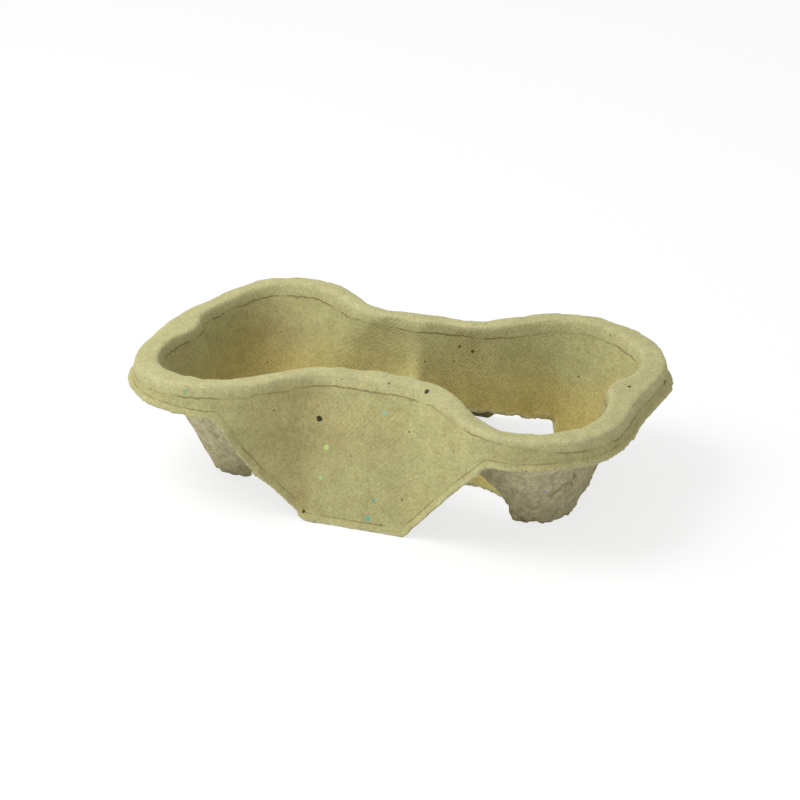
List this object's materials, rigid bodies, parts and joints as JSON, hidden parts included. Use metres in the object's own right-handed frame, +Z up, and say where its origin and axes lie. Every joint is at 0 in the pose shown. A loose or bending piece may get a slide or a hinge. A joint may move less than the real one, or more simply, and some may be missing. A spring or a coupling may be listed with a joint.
{
  "type": "cup carrier",
  "caption": "Moulded pulp carrier for takeaway drinks: tapered cup wells meet over a low divider under a rolled, waisted rim with leaning side panels.",
  "frame": {"origin": "centre of the footprint, on the ground it stands on", "axes": "+X along the carrier from one cup well to the other, +Y across it from the front panel to the back panel, +Z up"},
  "size_m": [0.2188, 0.1286, 0.057],
  "materials": {
    "pulp": "matte"
  },
  "bodies": {
    "root": {"cup_carrier": "pulp"}
  },
  "joints": []
}
